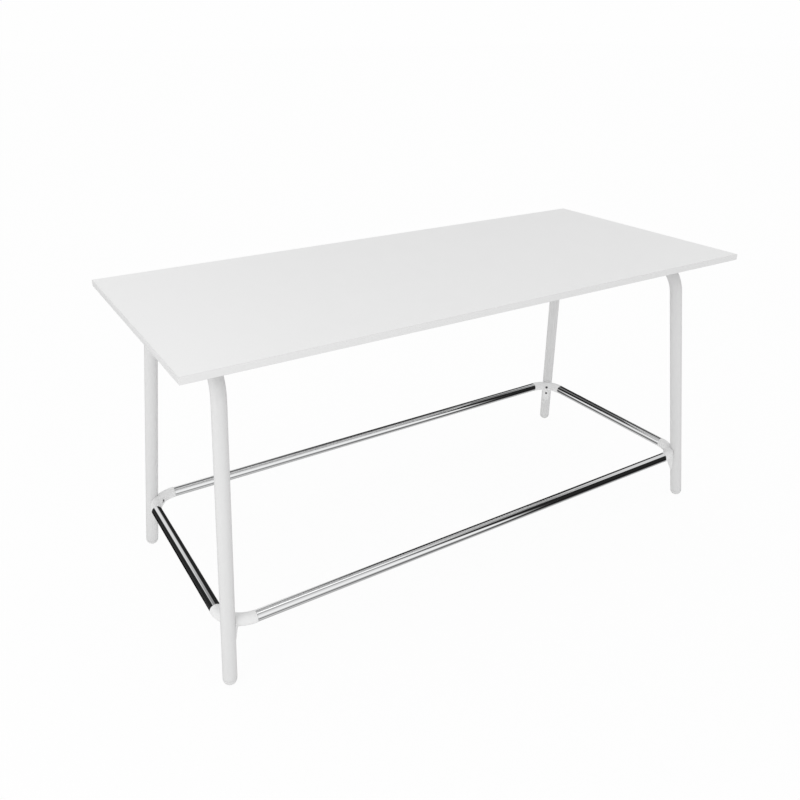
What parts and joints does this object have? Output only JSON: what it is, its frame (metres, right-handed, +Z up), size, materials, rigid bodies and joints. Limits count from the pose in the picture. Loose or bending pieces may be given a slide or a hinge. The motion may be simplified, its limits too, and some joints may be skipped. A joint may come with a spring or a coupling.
{
  "type": "standing meeting table",
  "caption": "Rectangular standing meeting table: a thin white top on leaning bent-tube leg hoops, with a chromed footrest ring held to the legs by moulded corner connectors.",
  "frame": {"origin": "on the floor, under the middle of the table top", "axes": "+Z up; +X along the table to its right end; +Y across the table, from front to back"},
  "size_m": [1.8, 0.8, 0.905],
  "materials": {
    "laminate": "white laminate, fine satin texture",
    "edge_band": "white plastic edge band, satin",
    "chipboard": "raw chipboard",
    "powder_coat": "white powder coat, fine texture, satin",
    "chrome": "bright chrome plate",
    "moulded_plastic": "white moulded nylon, satin",
    "blackened_steel": "blackened steel",
    "zinc_steel": "bright zinc plate"
  },
  "bodies": {
    "root": {"top_core_board": "chipboard", "top_face_laminate": "laminate", "top_backing_laminate": "laminate", "edge_band_front": "edge_band", "edge_band_back": "edge_band", "edge_band_left": "edge_band", "edge_band_right": "edge_band", "leg_hoop_left": "powder_coat", "leg_hoop_right": "powder_coat", "foot_rail_front": "chrome", "foot_rail_back": "chrome", "foot_rail_left": "chrome", "foot_rail_right": "chrome", "under_rail_front": "powder_coat", "under_rail_back": "powder_coat", "glide_front_left": "moulded_plastic", "corner_connector_front_left": "moulded_plastic", "connector_screw_upper_front_left": "blackened_steel", "rivet_nut_upper_front_left": "zinc_steel", "connector_screw_lower_front_left": "blackened_steel", "rivet_nut_lower_front_left": "zinc_steel", "mounting_plate_front_left": "powder_coat", "plate_screw_inner_front_left": "zinc_steel", "plate_screw_outer_front_left": "zinc_steel", "under_rail_stub_front_left": "powder_coat", "under_rail_screw_front_left": "blackened_steel", "glide_front_right": "moulded_plastic", "corner_connector_front_right": "moulded_plastic", "connector_screw_upper_front_right": "blackened_steel", "rivet_nut_upper_front_right": "zinc_steel", "connector_screw_lower_front_right": "blackened_steel", "rivet_nut_lower_front_right": "zinc_steel", "mounting_plate_front_right": "powder_coat", "plate_screw_inner_front_right": "zinc_steel", "plate_screw_outer_front_right": "zinc_steel", "under_rail_stub_front_right": "powder_coat", "under_rail_screw_front_right": "blackened_steel", "glide_back_left": "moulded_plastic", "corner_connector_back_left": "moulded_plastic", "connector_screw_upper_back_left": "blackened_steel", "rivet_nut_upper_back_left": "zinc_steel", "connector_screw_lower_back_left": "blackened_steel", "rivet_nut_lower_back_left": "zinc_steel", "mounting_plate_back_left": "powder_coat", "plate_screw_inner_back_left": "zinc_steel", "plate_screw_outer_back_left": "zinc_steel", "under_rail_stub_back_left": "powder_coat", "under_rail_screw_back_left": "blackened_steel", "glide_back_right": "moulded_plastic", "corner_connector_back_right": "moulded_plastic", "connector_screw_upper_back_right": "blackened_steel", "rivet_nut_upper_back_right": "zinc_steel", "connector_screw_lower_back_right": "blackened_steel", "rivet_nut_lower_back_right": "zinc_steel", "mounting_plate_back_right": "powder_coat", "plate_screw_inner_back_right": "zinc_steel", "plate_screw_outer_back_right": "zinc_steel", "under_rail_stub_back_right": "powder_coat", "under_rail_screw_back_right": "blackened_steel"}
  },
  "joints": []
}
